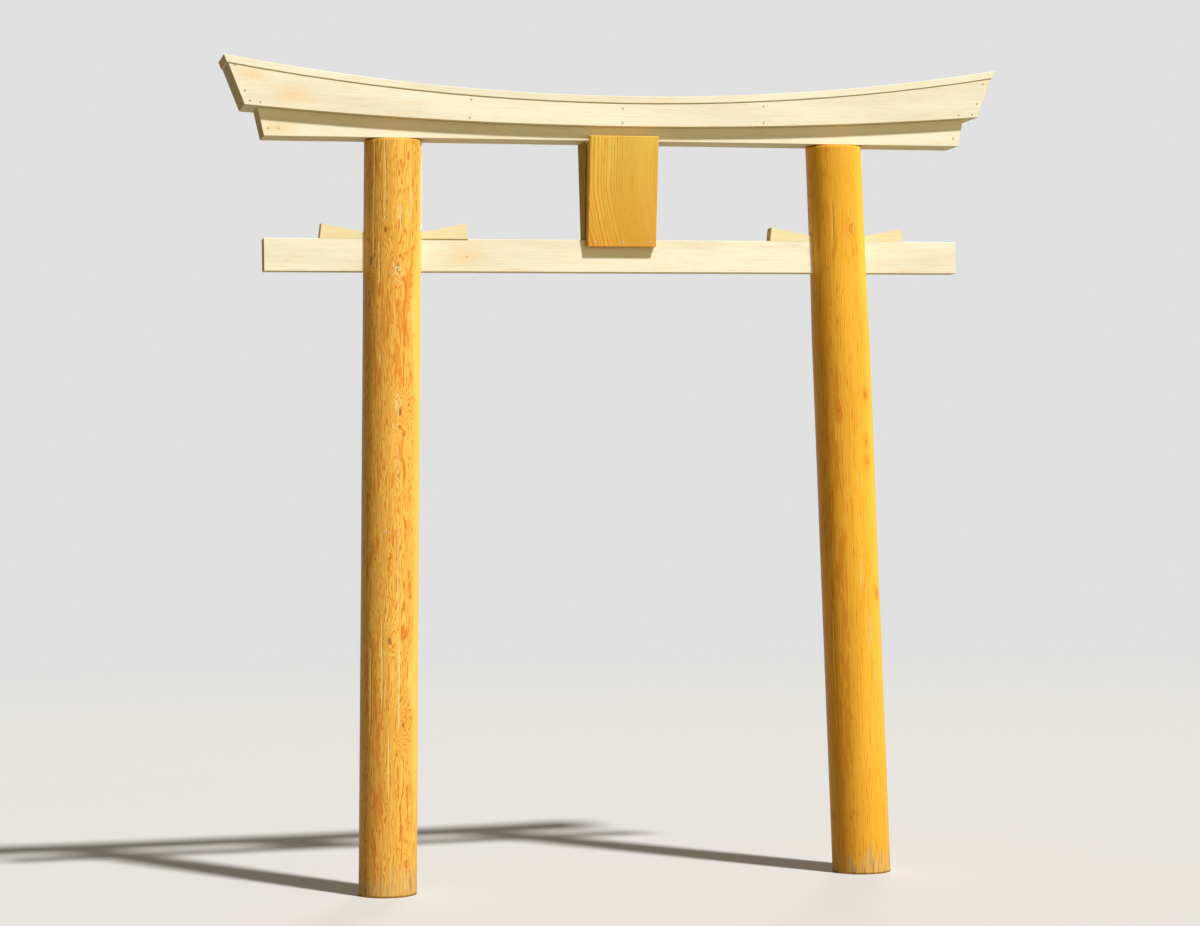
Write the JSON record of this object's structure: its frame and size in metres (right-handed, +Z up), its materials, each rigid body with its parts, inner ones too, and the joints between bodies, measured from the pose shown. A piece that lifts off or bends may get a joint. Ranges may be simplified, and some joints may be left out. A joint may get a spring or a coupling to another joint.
{
  "type": "torii gate",
  "caption": "Garden torii gate of oiled timber: round leaning posts, wedged tie beam, curved upper lintel under a cap board, and a bare plaque on a centre strut.",
  "frame": {"origin": "centre of the left post's foot, where it meets the ground", "axes": "+X along the gate towards the right post, +Y from the front with the plaque to the back, +Z up"},
  "size_m": [2.801, 0.2117, 2.8997],
  "materials": {
    "post": "clear oiled timber",
    "tie_beam": "clear oiled timber",
    "wedges": "clear oiled timber",
    "plaque": "clear oiled timber",
    "strut": "clear oiled timber",
    "lintel_boards": "clear oiled timber",
    "lintel_blocks": "clear oiled timber",
    "cap": "clear oiled timber"
  },
  "bodies": {
    "root": {"left_post": "post", "right_post": "post", "nuki": "tie_beam", "left_post_outer_wedge": "wedges", "left_post_inner_wedge": "wedges", "right_post_inner_wedge": "wedges", "right_post_outer_wedge": "wedges", "plaque_board": "plaque", "gakuzuka": "strut", "plaque_packing": "strut", "shimaki_front_board": "lintel_boards", "shimaki_back_board": "lintel_boards", "kasagi_front_board": "lintel_boards", "kasagi_back_board": "lintel_boards", "shimaki_left_end_block": "lintel_blocks", "shimaki_right_end_block": "lintel_blocks", "shimaki_left_block": "lintel_blocks", "shimaki_right_block": "lintel_blocks", "shimaki_left_soffit": "lintel_blocks", "shimaki_middle_soffit": "lintel_blocks", "shimaki_right_soffit": "lintel_blocks", "kasagi_left_end_block": "lintel_blocks", "kasagi_left_block": "lintel_blocks", "kasagi_middle_block": "lintel_blocks", "kasagi_right_block": "lintel_blocks", "kasagi_right_end_block": "lintel_blocks", "kasagi_cap": "cap"}
  },
  "joints": []
}
